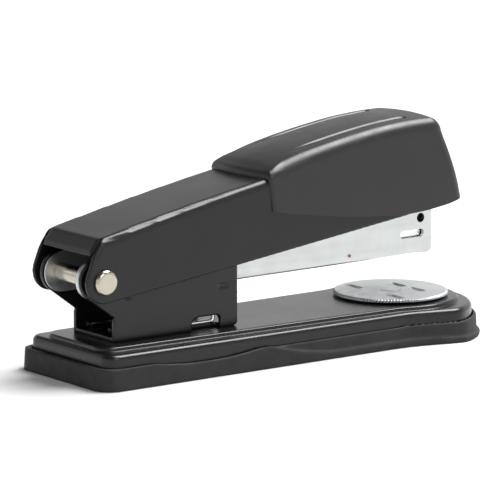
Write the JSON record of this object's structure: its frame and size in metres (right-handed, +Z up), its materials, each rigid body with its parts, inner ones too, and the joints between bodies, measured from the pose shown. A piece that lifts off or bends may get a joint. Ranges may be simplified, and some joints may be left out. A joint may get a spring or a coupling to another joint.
{
  "type": "half-strip desk stapler",
  "caption": "Black half-strip desk stapler: hinged steel arm with a plastic thumb cap over a sprung zinc magazine, on a rubber-shod base with a turning clinch anvil.",
  "frame": {"origin": "centre of the rubber pad's underside, where the stapler rests on the desk", "axes": "+X along the stapler towards the end where staples come out, +Y to its left, +Z up"},
  "size_m": [0.1284, 0.0476, 0.0583],
  "materials": {
    "arm_paint": "black semi-gloss powder coat",
    "base_paint": "black gloss powder coat",
    "cap_plastic": "black moulded plastic with a fine satin grain",
    "pad_rubber": "black matte rubber",
    "zinc_sheet": "bright zinc plated sheet steel",
    "anvil_zinc": "satin zinc plated steel",
    "pin_nickel": "nickel plated steel",
    "spring_steel": "bright spring steel",
    "staple_wire": "galvanised steel wire",
    "copper_rivet": "copper coloured rivet",
    "follower_plastic": "black moulded plastic",
    "blade_steel": "hardened plain steel"
  },
  "bodies": {
    "base": {"base_pad": "pad_rubber", "base_plate": "base_paint", "hinge_bracket": "base_paint", "bracket_rivets": "base_paint", "hinge_pin": "pin_nickel", "return_spring": "spring_steel", "anvil_bush": "zinc_sheet", "anvil_spring": "spring_steel"},
    "anvil_slider": {"anvil_button": "follower_plastic", "anvil_washer": "zinc_sheet"},
    "anvil": {"anvil_disc": "anvil_zinc", "anvil_post": "anvil_zinc"},
    "magazine": {"magazine_channel": "zinc_sheet", "magazine_nose": "zinc_sheet", "staple_rail": "zinc_sheet", "rail_rivets": "copper_rivet", "follower_rod": "spring_steel", "magazine_bridge": "zinc_sheet", "staple_strip": "staple_wire"},
    "follower": {"follower": "follower_plastic", "follower_spring": "spring_steel"},
    "lifter": {"lift_spring": "spring_steel"},
    "arm": {"arm_channel": "arm_paint", "front_cap": "cap_plastic", "cap_retainers": "spring_steel", "driver_blade": "blade_steel", "driver_rivets": "arm_paint"}
  },
  "joints": [
    {"name": "magazine_hinge", "type": "hinge", "parent": "base", "child": "magazine", "pos_m": [-0.0587, 0, 0.0261], "axis": [0, 1, 0], "range_deg": [0, 5.05], "stiffness_Nm_per_rad": 0.5, "springref_deg": -17.19, "deforming": ["return_spring"]},
    {"name": "arm_open", "type": "hinge", "parent": "magazine", "child": "lifter", "pos_m": [-0.0587, 0, 0.0261], "axis": [0, 1, 0], "range_deg": [-90, 0]},
    {"name": "arm_press", "type": "hinge", "parent": "lifter", "child": "arm", "pos_m": [-0.0587, 0, 0.0261], "axis": [0, 1, 0], "range_deg": [0, 4.1], "stiffness_Nm_per_rad": 4, "springref_deg": -6.88, "deforming": ["lift_spring"]},
    {"name": "follower_slide", "type": "slide", "parent": "magazine", "child": "follower", "axis": [1, 0, 0.007], "range_m": [-0.03, 0], "stiffness_N_per_m": 25, "springref_m": 0.04, "deforming": ["follower_spring"]},
    {"name": "anvil_lift", "type": "slide", "parent": "base", "child": "anvil_slider", "axis": [0, 0, 1], "range_m": [0, 0.001], "stiffness_N_per_m": 500, "springref_m": -0.003, "deforming": ["anvil_spring"]},
    {"name": "anvil_turn", "type": "hinge", "parent": "anvil_slider", "child": "anvil", "pos_m": [0.041, 0, 0.0112], "axis": [0, 0, 1], "range_deg": [0, 180]}
  ]
}
